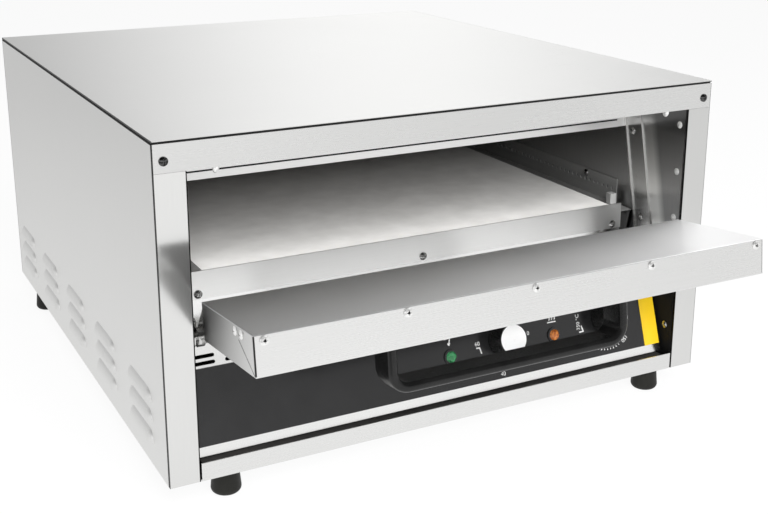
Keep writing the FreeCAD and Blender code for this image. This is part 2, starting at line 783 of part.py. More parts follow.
def knob_cap(centre):
    """Thin bright disc with a crowned top."""
    disc = crowned(knob_cap_radius, knob_cap_height / 2, knob_cap_height)
    return set_on(disc, centre + panel_outward * (knob_gap + knob_height - knob_cap_seat), panel_outward)


for name, centre in knob_centres.items():
    nodes[name + "_body"] = control_body(centre)
    nodes[name + "_shaft"] = control_shaft(centre)
    nodes[name + "_knob"] = knob(centre)
    nodes[name + "_cap"] = knob_cap(centre)

# Lamps: a housing with a bezel on the panel and a domed lens in it
lens_seat = UP * lamp_seat
lens_hole = rod(lens_seat, UP, lamp_lens_radius, lamp_bezel_height)
lamp_housing = joined([rod(V(0, 0, 0), UP, lamp_bezel_radius, lamp_bezel_height),
                       rod(V(0, 0, 0), DOWN, lamp_body_radius, lamp_body_length)]).cut(lens_hole)
lens = crowned(lamp_lens_radius, lamp_bezel_height - lamp_seat, lamp_lens_height).translated(lens_seat)
nodes["lamp_housings"] = Part.makeCompound(
    [set_on(lamp_housing, centre, panel_outward) for centre in lamp_centres.values()])
for name, centre in lamp_centres.items():
    nodes[name + "_lens"] = set_on(lens, centre, panel_outward)

# Thermostat bulb on a bent capillary that rises through the tray
bulb_start = V(capillary_x, capillary_turn.y + capillary_level, base + bulb_height)
capillary_rise = V(capillary_x, capillary_turn.y, bulb_start.z)
capillary = bent_rod([capillary_start, capillary_turn, capillary_rise, bulb_start],
                     capillary_bend, capillary_radius)
nodes["thermostat_bulb"] = joined([capillary, rod(bulb_start, BACKWARD, bulb_radius, bulb_length)])

# Terminal block on the base pan with a row of open bays, and the gland where the supply cable enters
terminal_x = gland_x - terminal_width / 2
terminal_y = (cabinet_depth - terminal_from_back, cabinet_depth - terminal_from_back + terminal_depth)
terminal_z = base + sheet
terminal_top = terminal_z + terminal_height
bay_pitch = (terminal_width - terminal_wall) / terminal_bays
bays = []
for step in range(terminal_bays):
    bay_x = terminal_x + terminal_wall + step * bay_pitch
    bays.append(block((bay_x, bay_x + bay_pitch - terminal_wall), terminal_y,
                      (terminal_z + terminal_floor, terminal_top)))
terminal_block = block((terminal_x, terminal_x + terminal_width), terminal_y, (terminal_z, terminal_top))
nodes["terminal_block"] = terminal_block.cut(bays)


def hexagon(radius, start, length):
    """Six-sided bar along Z."""
    corners = [V(radius, 0, start)]
    for step in range(6):
        corners.append(FreeCAD.Rotation(UP, 60).multVec(corners[-1]))
    return Part.Face(Part.makePolygon(corners)).extrude(UP * length)


dome = crowned(gland_dome_radius, gland_dome_length / 2, gland_dome_length)
gland = joined([
    hexagon(gland_nut_radius, 0, gland_nut_length),
    dome.translated(UP * gland_nut_length),
    rod(V(0, 0, 0), DOWN, gland_thread_radius, sheet),
    hexagon(gland_nut_radius, -sheet - gland_nut_length, gland_nut_length)])
gland = drilled(gland, [V(0, 0, 0)], UP, gland_bore_radius, gland_nut_length + gland_dome_length)
nodes["cable_gland"] = set_on(gland, gland_centre, BACKWARD)


# Door, made lying level with its rear inner edge at the origin, then tilted to its open rest
def on_door(shape):
    """Piece made on the level door, set on the hinge with the door open."""
    rear = lean_point(0, -hinge_back, hinge_drop, door_open_tilt, hinge_y, hinge_z)
    return leaned(shape, door_open_tilt, rear.y, rear.z)


door_half = wall_in - door_side_gap
door_length = mouth_rise_at(lip_bottom) - hinge_back - door_top_gap
lining_half = door_half - door_sheet
lining_y = (-door_length + door_sheet, -door_sheet)
leaf = block((-door_half, door_half), (-door_length, 0), (-door_thickness, 0))
leaf = leaf.makeFillet(door_edge_radius, [edge for edge in leaf.Edges if edge.BoundBox.ZLength < fit])
skin_sheet = block((-door_half, door_half), (-door_length, 0), (-door_sheet, 0))
pan_hollow = block((-lining_half, lining_half), lining_y, (-door_thickness + door_sheet, 0))
corner_seam = block((door_half - door_corner_gap, door_half), (-door_length, -door_length + door_corner_gap),
                    (-door_thickness + door_corner_gap, 0))
door_screw_half = door_half - door_screw_end
door_screw_pitch = 2 * door_screw_half / (door_screw_count - 1)
door_screw_points = [V(step * door_screw_pitch - door_screw_half, -door_length, -door_screw_drop)
                     for step in range(door_screw_count)]
first_end_screw = V(door_half, -door_length + door_end_screw_first, -door_screw_drop)
end_screw_points = [first_end_screw, first_end_screw + BACKWARD * door_end_screw_pitch]


def door_drilled(shape):
    """Sheet of the door with the holes for its screws."""
    shape = drilled(shape, door_screw_points, BACKWARD, screw_hole, 3 * door_sheet)
    return drilled(shape, end_screw_points, RIGHT, screw_hole, 3 * door_half)


nodes["door_pan"] = on_door(door_drilled(leaf.cut([skin_sheet, pan_hollow] + both_sides(corner_seam))))
flange_z = (-door_flange, -door_sheet)
skin_hollow = block((-lining_half + door_sheet, lining_half - door_sheet),
                    (lining_y[0] + door_sheet, lining_y[1] - door_sheet), flange_z)
flange_ring = block((-lining_half, lining_half), lining_y, flange_z).cut(skin_hollow)
nodes["door_inner_skin"] = on_door(door_drilled(joined([leaf.common(skin_sheet), flange_ring])))
filling_gap = door_sheet + door_filling_gap
filling_half = lining_half - filling_gap
nodes["door_insulation"] = on_door(
    block((-filling_half, filling_half), (lining_y[0] + filling_gap, lining_y[1] - filling_gap),
          (-door_thickness + door_sheet, -door_sheet)))
door_screw = pan_screw(2 * door_sheet)
door_screws = [set_on(door_screw, point, FORWARD) for point in door_screw_points]
for point in end_screw_points:
    door_screws += both_sides(set_on(door_screw, point, RIGHT))
nodes["door_screws"] = on_door(Part.makeCompound(door_screws))

# Bridge handle: one bar bent to a U, standing out of the door's outer face
handle_y = -door_length + handle_from_free_edge
handle_half = handle_width / 2
handle_end = -door_thickness - handle_reach
grip_half = handle_half - handle_bar


def low_corners(shape):
    """The two edges across the handle at its outer corners."""
    return [edge for edge in shape.Edges
            if edge.BoundBox.YLength > handle_depth / 2 and edge.BoundBox.ZMax < -door_thickness - fit]


bar_half = handle_depth / 2
handle_outside = block((-handle_half, handle_half), (handle_y - bar_half, handle_y + bar_half),
                       (handle_end, -door_thickness))
finger_gap = block((-grip_half, grip_half), (handle_y - handle_depth, handle_y + handle_depth),
                   (handle_end + handle_bar, -door_thickness))
handle_outside = handle_outside.makeFillet(handle_corner_radius, low_corners(handle_outside))
finger_gap = finger_gap.makeFillet(handle_corner_radius - handle_bar, low_corners(finger_gap))
handle = handle_outside.cut(finger_gap)
handle_rims = [edge for edge in handle.Edges
               if edge.BoundBox.YLength < fit and edge.BoundBox.ZMin < -door_thickness - fit]
nodes["door_handle"] = on_door(handle.makeFillet(handle_edge_radius, handle_rims))

# Hinge arms: a foot on the door's rear edge, a web back to the pin and a lug whose tail meets the stop
pin_hole = hinge_pin_radius + hinge_running_gap
arm_out = door_half - arm_inset
arm_in = arm_out - arm_thickness
lug_out = arm_out + arm_thickness
hinge_point = V(arm_in, hinge_y, hinge_z)
web_outline = [(0, -arm_foot_top), (arm_brace, -arm_foot_top), (hinge_back + arm_eye_radius, -hinge_drop),
               (hinge_back, -hinge_drop - arm_eye_radius), (0, -arm_foot_bottom)]
arm = on_door(joined([
    prism(web_outline, arm_in, arm_out),
    block((arm_out - arm_foot_width, arm_out), (0, arm_thickness), (-arm_foot_bottom, -arm_foot_top))]))
arm = joined([
    arm,
    rod(hinge_point, RIGHT, arm_eye_radius, lug_out - arm_in),
    block((arm_out, lug_out), (hinge_y, hinge_y + arm_tail_length),
          (hinge_z - arm_tail_below, hinge_z + arm_tail_above))])
arm = drilled(arm, [hinge_point], RIGHT, pin_hole, 4 * arm_thickness)
nodes["right_hinge_arm"] = arm
nodes["left_hinge_arm"] = other_side(arm)
pin = joined([rod(hinge_point, LEFT, hinge_pin_head_radius, hinge_pin_head),
              rod(hinge_point, RIGHT, hinge_pin_radius, wall_in - arm_in)])
nodes["hinge_pins"] = Part.makeCompound(both_sides(pin))

# Bushes that the pins turn in, and the studs that stop the open door
bush_start = V(wall_in - hinge_bush_proud, hinge_y, hinge_z)
hinge_bush = joined([rod(bush_start, RIGHT, hinge_collar_radius, hinge_bush_proud),
                     rod(bush_start, RIGHT, hinge_bush_radius, hinge_bush_proud + sheet)])
hinge_bush = drilled(hinge_bush, [bush_start], RIGHT, pin_hole, 2 * hinge_bush_proud)
nodes["hinge_bushes"] = Part.makeCompound(both_sides(hinge_bush))
stud_z = hinge_z + arm_tail_above + fit + stop_stud_radius
stud_start = V(arm_out + fit, hinge_y + stop_stud_back, stud_z)
door_stop = rod(stud_start, RIGHT, stop_stud_radius, wall_in - stud_start.x)
nodes["door_stops"] = Part.makeCompound(both_sides(door_stop))

# Inner walls get the holes for what is fixed to them
wall_screw_holes = jamb_screw_points + rail_screw_points + [wall_screw_point]
inner_wall = drilled(inner_wall, wall_rivet_points, RIGHT, rivet_hole, 3 * sheet)
inner_wall = drilled(inner_wall, wall_screw_holes, RIGHT, screw_hole, 4 * sheet)
bush_hole = hinge_bush_radius + screw_hole_gap
inner_wall = drilled(inner_wall, [bush_start], RIGHT, bush_hole, 4 * hinge_bush_proud)
nodes["right_inner_wall"] = inner_wall
nodes["left_inner_wall"] = other_side(inner_wall)
wall_rivets = []
for point in wall_rivet_points:
    wall_rivets += both_sides(set_on(rivet(2 * sheet), point, LEFT))
nodes["wall_rivets"] = Part.makeCompound(wall_rivets)

# Bright pan-head screws of the cabinet
cabinet_screws = [set_on(pan_screw(3 * sheet), point, BACKWARD) for point in back_screw_points]
cabinet_screws += [set_on(pan_screw(2 * sheet), point, FORWARD) for point in hearth_screw_points]
for point in jamb_screw_points:
    cabinet_screws += both_sides(set_on(pan_screw(jamb_sheet + sheet), point, LEFT))
for point in rail_screw_points + [wall_screw_point]:
    cabinet_screws += both_sides(set_on(pan_screw(2 * sheet), point, LEFT))
nodes["cabinet_screws"] = Part.makeCompound(cabinet_screws)

# Move the origin to the middle of the footprint and write one file for each node
extent = Part.makeCompound(list(nodes.values())).BoundBox
to_origin = FORWARD * ((extent.YMin + extent.YMax) / 2)
os.makedirs("parts", exist_ok=True)
for name, shape in nodes.items():
    shape.translated(to_origin).exportStep("parts/" + name + ".step")
print("joints turn about", hinge_point + to_origin, [point + to_origin for point in knob_centres.values()])
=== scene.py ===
import math

import bmesh
import bpy
import numpy as np
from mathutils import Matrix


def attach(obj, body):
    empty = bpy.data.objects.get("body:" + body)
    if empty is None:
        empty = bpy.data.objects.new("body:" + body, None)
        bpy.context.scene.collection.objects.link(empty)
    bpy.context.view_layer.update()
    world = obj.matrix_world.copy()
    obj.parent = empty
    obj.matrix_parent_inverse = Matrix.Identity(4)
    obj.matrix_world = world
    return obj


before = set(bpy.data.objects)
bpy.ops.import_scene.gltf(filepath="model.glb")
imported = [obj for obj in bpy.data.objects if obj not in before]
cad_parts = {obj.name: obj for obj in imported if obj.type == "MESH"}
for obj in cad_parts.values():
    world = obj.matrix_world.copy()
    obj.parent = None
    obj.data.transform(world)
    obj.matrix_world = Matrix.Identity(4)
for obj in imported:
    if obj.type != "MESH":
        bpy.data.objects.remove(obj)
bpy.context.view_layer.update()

# Base pan, bottom rail and back panel.
# Folded stainless sheet with a fine brushed finish, spot welded to the flanges of the sides.
# The brushing runs along the width, and handling leaves it a little uneven.


def linked(tree, kind, **values):
    """A shader node with its input sockets set; a value that is an output socket is linked."""
    node = tree.nodes.new(kind)
    for name, value in values.items():
        socket = node.inputs[int(name[1:])] if name[0] == "_" else node.inputs[name]
        if isinstance(value, bpy.types.NodeSocket):
            tree.links.new(value, socket)
        else:
            socket.default_value = value
    return node


def new_material(name):
    """An empty node material with its Principled shader and Object coordinates."""
    material = bpy.data.materials.new(name)
    material.use_nodes = True
    tree = material.node_tree
    shader = tree.nodes["Principled BSDF"]
    place = tree.nodes.new("ShaderNodeTexCoord").outputs["Object"]
    return material, tree, shader, place


def stretched_noise(tree, place, scale, detail=2.0, roughness=0.5):
    """Noise whose cell size differs along X, Y and Z, as strokes of brushing do."""
    mapped = linked(tree, "ShaderNodeMapping", Vector=place, Scale=scale)
    return linked(tree, "ShaderNodeTexNoise", Vector=mapped.outputs[0], Scale=1.0, Detail=detail,
                  Roughness=roughness).outputs["Fac"]


def ranged(tree, value, low, high, from_low=0.25, from_high=0.75):
    """A value carried over from one range to another, and held at its ends."""
    node = linked(tree, "ShaderNodeMapRange", Value=value, _1=from_low, _2=from_high, _3=low, _4=high)
    return node.outputs[0]


def tinted(tree, factor, dark, light):
    """A colour between two, by a factor from 0 to 1."""
    node = tree.nodes.new("ShaderNodeMix")
    node.data_type = "RGBA"
    tree.links.new(factor, node.inputs[0])
    node.inputs[6].default_value = (*dark, 1.0)
    node.inputs[7].default_value = (*light, 1.0)
    return node.outputs[2]


def brushed_steel(name, colour, roughness, grain, spread=0.02, bump=0.015, stretch=0.8):
    """Brushed stainless: fine strokes along the grain change colour, gloss and height, broad clouds dull it
    slightly, and highlights stretch across the grain, along the cross product of surface and grain."""
    material, tree, shader, place = new_material(name)
    along = np.abs(grain) > 0.5
    strokes = stretched_noise(tree, place, tuple(np.where(along, 22.0, 2200.0)), detail=3.0)
    clouds = stretched_noise(tree, place, (5.0, 5.0, 5.0), detail=2.0)
    dark = tuple(c * (1.0 - spread) for c in colour)
    light = tuple(min(1.0, c * (1.0 + spread)) for c in colour)
    tree.links.new(tinted(tree, ranged(tree, strokes, 0.0, 1.0), dark, light), shader.inputs["Base Color"])
    fine = ranged(tree, strokes, roughness - 0.02, roughness + 0.02)
    broad = ranged(tree, clouds, -0.02, 0.02)
    total = linked(tree, "ShaderNodeMath", _0=fine, _1=broad)
    tree.links.new(total.outputs[0], shader.inputs["Roughness"])
    shader.inputs["Metallic"].default_value = 1.0
    shader.inputs["Anisotropic"].default_value = stretch
    surface = tree.nodes.new("ShaderNodeNewGeometry").outputs["Normal"]
    across = linked(tree, "ShaderNodeVectorMath", _0=surface, _1=grain)
    across.operation = "CROSS_PRODUCT"
    tree.links.new(across.outputs["Vector"], shader.inputs["Tangent"])
    relief = linked(tree, "ShaderNodeBump", Strength=bump, Distance=0.0002, Height=strokes)
    tree.links.new(relief.outputs[0], shader.inputs["Normal"])
    return material


def finish_node(node, material):
    """Gives a CAD node its material."""
    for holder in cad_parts[node].material_slots:
        holder.material = material


ALONG_X = (1.0, 0.02, 0.013)
ALONG_Y = (0.02, 1.0, 0.013)
ALONG_Z = (0.02, 0.013, 1.0)
cabinet_colour = (0.84, 0.84, 0.83)
steel_along_x = brushed_steel("cabinet_steel_across", cabinet_colour, 0.28, ALONG_X)
for node in ("base_pan", "bottom_rail", "back_panel"):
    finish_node(node, steel_along_x)

# Feet.
# Black moulded rubber, each pressed through the base pan by its stud.
# The skin is matt, with a fine orange-peel grain and dust in it.


def moulded(name, dark, light, roughness, grain, bump):
    """Moulded rubber or plastic: a fine grain in height and gloss, and a broad uneven tone."""
    material, tree, shader, place = new_material(name)
    fine = stretched_noise(tree, place, (grain, grain, grain), detail=3.0)
    broad = stretched_noise(tree, place, (40.0, 40.0, 40.0), detail=2.0)
    tree.links.new(tinted(tree, ranged(tree, broad, 0.0, 1.0), dark, light), shader.inputs["Base Color"])
    tree.links.new(ranged(tree, fine, roughness - 0.05, roughness + 0.07), shader.inputs["Roughness"])
    relief = linked(tree, "ShaderNodeBump", Strength=bump, Distance=0.0003, Height=fine)
    tree.links.new(relief.outputs[0], shader.inputs["Normal"])
    return material


def set_finish(material, socket, value):
    """Sets one socket of a material's shader; a value that is an output socket is linked."""
    target = material.node_tree.nodes["Principled BSDF"].inputs[socket]
    if isinstance(value, bpy.types.NodeSocket):
        material.node_tree.links.new(value, target)
    else:
        target.default_value = value


foot_rubber = moulded("foot_rubber", (0.006, 0.006, 0.005), (0.014, 0.014, 0.012), 0.50, 1500.0, 0.25)
set_finish(foot_rubber, "Specular IOR Level", 0.25)
finish_node("feet", foot_rubber)

# Side panels.
# Flat stainless sheets, brushed upright, with rows of pressed louvres open along their lower edges.
# Their front and upper edges are painted black as painted shade of the corner seams.


def axes_of(material):
    """The X, Y and Z of a material's Object coordinates."""
    tree = material.node_tree
    place = tree.nodes["Texture Coordinate"].outputs["Object"]
    return linked(tree, "ShaderNodeSeparateXYZ", Vector=place).outputs


def painted(material, mask, colour):
    """Lays a colour over a finish where the mask is 1."""
    tree = material.node_tree
    socket = tree.nodes["Principled BSDF"].inputs["Base Color"]
    node = tree.nodes.new("ShaderNodeMix")
    node.data_type = "RGBA"
    tree.links.new(mask, node.inputs[0])
    tree.links.new(socket.links[0].from_socket, node.inputs[6])
    node.inputs[7].default_value = (*colour, 1.0)
    tree.links.new(node.outputs[2], socket)


def maths(tree, operation, first, second):
    """One arithmetic step of a node tree."""
    node = linked(tree, "ShaderNodeMath", _0=first, _1=second)
    node.operation = operation
    return node.outputs[0]


def off_middle(material):
    """How far a point lies from the oven's middle plane, to either side."""
    return maths(material.node_tree, "ABSOLUTE", axes_of(material)["X"], 0.0)


def above(tree, value, limit, blend=0.0002):
    """1 where a value is past a limit and 0 before it, with a short blend."""
    return ranged(tree, value, 0.0, 1.0, limit, limit + blend)


def below(tree, value, limit, blend=0.0002):
    """1 where a value is before a limit and 0 past it, with a short blend."""
    return ranged(tree, value, 1.0, 0.0, limit, limit + blend)


front = -0.2616965
back = 0.3683035
side = 0.2888
side_shade_width = 0.0037
side_shade_foot = 0.3302
seam_shade_black = (0.004, 0.004, 0.004)
side_steel = brushed_steel("side_steel", (0.79, 0.79, 0.78), 0.36, ALONG_Z)
side_tree = side_steel.node_tree
side_axes = axes_of(side_steel)
# Painted shade: the front and upper edges are painted black where the corner seams are.
side_front_shade = below(side_tree, side_axes["Y"], front + side_shade_width)
side_top_shade = above(side_tree, side_axes["Z"], side_shade_foot)
painted(side_steel, maths(side_tree, "MAXIMUM", side_front_shade, side_top_shade), seam_shade_black)
for node in ("left_side_panel", "right_side_panel"):
    finish_node(node, side_steel)

# Front posts.
# Channels folded from the same sheet, brushed along their height, with painted shade in black on their outer
# and inner edges.
# Their inner flanges carry the rivets of the recess walls.
post_outer_edge = 0.2895
post_inner_edge = 0.2629
steel_along_z = brushed_steel("post_steel", (0.78, 0.78, 0.77), 0.13, ALONG_Z, stretch=0.6)
post_tree = steel_along_z.node_tree
post_out = off_middle(steel_along_z)
# Painted shade: both edges of the posts are painted black beside the seams.
painted(steel_along_z, above(post_tree, post_out, post_outer_edge), seam_shade_black)
painted(steel_along_z, below(post_tree, post_out, post_inner_edge), seam_shade_black)
for node in ("left_post", "right_post"):
    finish_node(node, steel_along_z)

# Inner walls of the recess and the chamber.
# Stainless sheets, darkened by heat, brushed upright and riveted to the posts, with painted shade along the
# top.
# A band beside the slanted jamb is painted lighter as a painted highlight.
# Below the door the wall is black, matt and not metallic, up to a straight line.
wall_steel = brushed_steel("wall_steel", (0.30, 0.30, 0.30), 0.30, ALONG_Z, spread=0.06)
wall_tree = wall_steel.node_tree
wall_axes = axes_of(wall_steel)
jamb_slope = -0.2272
jamb_line = maths(wall_tree, "ADD", maths(wall_tree, "MULTIPLY", wall_axes["Z"], jamb_slope), wall_axes["Y"])
# Painted highlight: a lighter band beside the slanted jamb.
jamb_band_highlight = maths(wall_tree, "MULTIPLY", above(wall_tree, jamb_line, -0.2806, blend=0.0100),
               below(wall_tree, jamb_line, -0.2560, blend=0.0004))
painted(wall_steel, jamb_band_highlight, (0.74, 0.74, 0.73))
# Painted shade along the top of the wall, under the lip.
wall_top_shade = ranged(wall_tree, wall_axes["Z"], 0.0, 0.75, 0.277, 0.289)
painted(wall_steel, wall_top_shade, (0.10, 0.10, 0.10))
black_top = 0.150
# Below the door the wall is black, matt and not metallic.
wall_black_below = below(wall_tree, wall_axes["Z"], black_top - 0.0005, blend=0.0010)
painted(wall_steel, wall_black_below, (0.010, 0.010, 0.010))
black_dullness = 0.25
steel_roughness = wall_tree.nodes["Principled BSDF"].inputs["Roughness"].links[0].from_socket
set_finish(wall_steel, "Roughness",
           maths(wall_tree, "ADD", maths(wall_tree, "MULTIPLY", wall_black_below, black_dullness), steel_roughness))
set_finish(wall_steel, "Metallic", maths(wall_tree, "SUBTRACT", 1.0, wall_black_below))
set_finish(wall_steel, "Specular IOR Level", 0.1)
for node in ("left_inner_wall", "right_inner_wall"):
    finish_node(node, wall_steel)

# Chamber ceiling, back and tray.
# Aluminised sheet round the baking space, matt and darkened by heat.
chamber_steel = brushed_steel("chamber_steel", (0.36, 0.35, 0.34), 0.45, ALONG_X, spread=0.12)
for node in ("chamber_ceiling", "chamber_back", "lower_tray"):
    finish_node(node, chamber_steel)

# Heating elements with their clips and ceramic bushes.
# Sheathed rods, oxidised to a dull brown grey; the clips are plated and the bushes unglazed.
element_sheath = moulded("element_sheath", (0.10, 0.085, 0.075), (0.17, 0.15, 0.135), 0.5, 700.0, 0.2)
ceramic = moulded("ceramic", (0.74, 0.72, 0.66), (0.84, 0.82, 0.77), 0.6, 900.0, 0.15)
plated_steel = brushed_steel("plated_steel", (0.68, 0.68, 0.67), 0.22, ALONG_X, spread=0.07, stretch=0.0)
for node in ("upper_element", "lower_element"):
    finish_node(node, element_sheath)
for node in ("element_bushes", "terminal_block"):
    finish_node(node, ceramic)
finish_node("element_clips", plated_steel)

# Insulation boards.
# Pressed mineral fibre, cream coloured, with short matted fibres.
fibre = moulded("mineral_fibre", (0.55, 0.50, 0.38), (0.78, 0.74, 0.62), 0.9, 420.0, 0.6)
for node in ("top_insulation", "back_insulation", "side_insulation", "bottom_insulation", "door_insulation"):
    finish_node(node, fibre)

# Hearth plate.
# A slab of pale refractory stone with a fine sandy grain, laid on the rails' shelves.
hearth_stone = moulded("hearth_stone", (0.74, 0.73, 0.71), (0.86, 0.85, 0.83), 0.55, 1200.0, 0.15)
finish_node("hearth_plate", hearth_stone)

# Side rails and hearth strip.
# Perforated angles and a plain strip of stainless sheet that frame the stone.
# Heat has darkened the rails; the strip is darker towards its right end, and the blocks at the rails' front
# ends are pale grey.
rail_steel = brushed_steel("rail_steel", (0.33, 0.33, 0.325), 0.34, ALONG_Y, spread=0.08)
for node in ("left_rail", "right_rail"):
    finish_node(node, rail_steel)
rail_tree = rail_steel.node_tree
rail_axes = axes_of(rail_steel)
block_back = -0.1573
block_outside = 0.2562
block_foot = 0.1827
on_block = maths(rail_tree, "MULTIPLY", below(rail_tree, rail_axes["Y"], block_back),
                 below(rail_tree, off_middle(rail_steel), block_outside))
on_block = maths(rail_tree, "MULTIPLY", on_block, above(rail_tree, rail_axes["Z"], block_foot))
painted(rail_steel, on_block, (0.36, 0.36, 0.355))
set_finish(rail_steel, "Metallic", ranged(rail_tree, on_block, 0.5, 0.0, 0.0, 1.0))
strip_steel = brushed_steel("strip_steel", (0.92, 0.92, 0.91), 0.30, ALONG_X)
set_finish(strip_steel, "Metallic", 0.91)
# The strip is darker towards its right end.
strip_right = ranged(strip_steel.node_tree, axes_of(strip_steel)["X"], 0.0, 0.35, 0.12, 0.24)
painted(strip_steel, strip_right, (0.30, 0.30, 0.30))
finish_node("hearth_strip", strip_steel)

# Jambs and header strip round the mouth.
# Folded stainless strips, brushed upright; the jambs are screwed to the inner walls.
# The door closes on them. The jambs' faces are painted darker as painted shade; their stops stay bright,
# and a thin strip along their cut corners is left bright as a painted highlight.
jamb_steel = brushed_steel("jamb_steel", (0.74, 0.74, 0.73), 0.26, ALONG_Z)
jamb_tree = jamb_steel.node_tree
jamb_out = off_middle(jamb_steel)
jamb_plane = 0.2605
# Painted shade on the jambs' faces, and a painted highlight along their cut corners.
highlit_jamb_corner = maths(jamb_tree, "MULTIPLY", above(jamb_tree, jamb_out, jamb_plane + 0.0001, blend=0.00005),
                    below(jamb_tree, jamb_out, jamb_plane + 0.00035, blend=0.00005))
shaded_jamb_face = above(jamb_tree, jamb_out, jamb_plane - 0.0001, blend=0.00005)
painted(jamb_steel, maths(jamb_tree, "SUBTRACT", shaded_jamb_face, highlit_jamb_corner), (0.46, 0.46, 0.455))
for node in ("left_jamb", "right_jamb"):
    finish_node(node, jamb_steel)
finish_node("header_strip", brushed_steel("header_steel", (0.95, 0.95, 0.94), 0.36, ALONG_Z))

# Fascia.
# One folded stainless sheet with two rows of punched vent slots above the control panel.
# Beside the hearth strip's right end its upstand is painted dark as painted shade.
fascia_steel = brushed_steel("fascia_steel", (0.91, 0.91, 0.90), 0.18, ALONG_X, stretch=0.3)
fascia_tree = fascia_steel.node_tree
fascia_axes = axes_of(fascia_steel)
# Painted shade on the upstand between the hearth strip's right end and the wall.
upstand_end_shade = maths(fascia_tree, "MULTIPLY", above(fascia_tree, fascia_axes["X"], 0.2436, blend=0.0004),
                   above(fascia_tree, fascia_axes["Y"], -0.2000, blend=0.0040))
painted(fascia_steel, upstand_end_shade, (0.10, 0.10, 0.10))
finish_node("fascia", fascia_steel)

# Control panel and yellow strip.
# A black film on aluminium with a fine satin texture, and a plain yellow film at its right-hand end.
panel_film = moulded("panel_film", (0.008, 0.008, 0.0085), (0.012, 0.012, 0.0125), 0.20, 2200.0, 0.03)
yellow_film = moulded("yellow_film", (0.80, 0.52, 0.014), (0.84, 0.56, 0.020), 0.35, 1500.0, 0.05)
finish_node("control_panel", panel_film)
finish_node("yellow_strip", yellow_film)

# Scales and signs on the control panel.
# White screen-printed marks: minutes round the timer, degrees round the thermostat, a mains sign over the
# green lamp and a heat sign over the amber one.
ink_height = 0.00012
panel_lean = math.radians(18.5)
panel_foot = np.array([0.0, -0.2460965, 0.0498])
panel_axes = np.array([[1.0, 0.0, 0.0],
                       [0.0, math.sin(panel_lean), math.cos(panel_lean)],
                       [0.0, -math.cos(panel_lean), math.sin(panel_lean)]])
knob_rise = 0.0388
timer_x = 0.0667
thermostat_x = 0.1925


def ink_line(points, width):
    """A line of ink as vertices and quads: a rectangle, as wide as the line and as high as the ink, carried
    along a path; at a bend it stands on the bisector, widened by one over the cosine of half the bend."""
    points = np.asarray(points, float)
    steps = np.diff(points, axis=0)
    steps /= np.linalg.norm(steps, axis=1, keepdims=True)
    before = np.vstack([steps[:1], steps])
    after = np.vstack([steps, steps[-1:]])
    bisector = before + after
    bisector /= np.linalg.norm(bisector, axis=1, keepdims=True)
    across = np.stack([-bisector[:, 1], bisector[:, 0]], 1) / (bisector * after).sum(1, keepdims=True)
    aside = np.array([-0.5, 0.5, 0.5, -0.5]) * width
    high = np.array([0.0, 0.0, 1.0, 1.0]) * ink_height
    flat = points[:, None, :] + across[:, None, :] * aside[None, :, None]
    rings = np.concatenate([flat, np.broadcast_to(high[None, :, None], (*flat.shape[:2], 1))], 2)
    corner = np.arange(len(points) * 4).reshape(-1, 4)
    turned = np.roll(corner, -1, axis=1)
    sides = np.stack([corner[:-1], turned[:-1], turned[1:], corner[1:]], -1).reshape(-1, 4)
    return rings.reshape(-1, 3), np.vstack([sides, corner[:1, ::-1], corner[-1:]]).tolist()


def ink_number(text, size, centre, turn):
    """A number of ink as vertices and triangles: its letters' mesh, turned about its middle and moved."""
    letters = bpy.data.curves.new(text, "FONT")
    letters.body = text
    letters.size = size
    letters.extrude = ink_height / 2
    letters.align_x = "CENTER"
    letters.align_y = "CENTER"
    holder = bpy.data.objects.new(text, letters)
    mesh = bpy.data.meshes.new_from_object(holder)
    mesh.calc_loop_triangles()
    places = np.empty(len(mesh.vertices) * 3)
    mesh.vertices.foreach_get("co", places)
    faces = np.empty(len(mesh.loop_triangles) * 3, int)
    mesh.loop_triangles.foreach_get("vertices", faces)
    bpy.data.objects.remove(holder)
    bpy.data.curves.remove(letters)
    bpy.data.meshes.remove(mesh)
    cosine, sine = math.cos(turn), math.sin(turn)
    places = places.reshape(-1, 3) @ np.array([[cosine, sine, 0.0], [-sine, cosine, 0.0], [0.0, 0.0, 1.0]])
    return places + np.array([*centre, ink_height / 2]), faces.reshape(-1, 3).tolist()


def new_piece(name, places, faces, material, body, slot):
    """A piece from vertices and faces, with its finish, riding on a body."""
    mesh = bpy.data.meshes.new(name)
    mesh.from_pydata(places.tolist(), [], faces)
    mesh.materials.append(material)
    piece = bpy.data.objects.new(name, mesh)
    bpy.context.scene.collection.objects.link(piece)
    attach(piece, body)
    return piece


def printed(name, marks):
    """Marks drawn on the panel's plane, joined into one piece and laid on the panel's face."""
    counts = np.cumsum([0] + [len(places) for places, faces in marks])
    places = np.vstack([places for places, faces in marks])
    faces = [[corner + start for corner in face]
             for start, (spots, loops) in zip(counts, marks) for face in loops]
    new_piece(name, panel_foot + places @ panel_axes, faces, panel_ink, "cabinet", "bright_cap")


def round_dial(centre_x, turn, radius):
    """Points on the panel's plane round a knob, by the turn clockwise from the top."""
    return np.stack([centre_x + radius * np.sin(turn), knob_rise + radius * np.cos(turn)], -1)


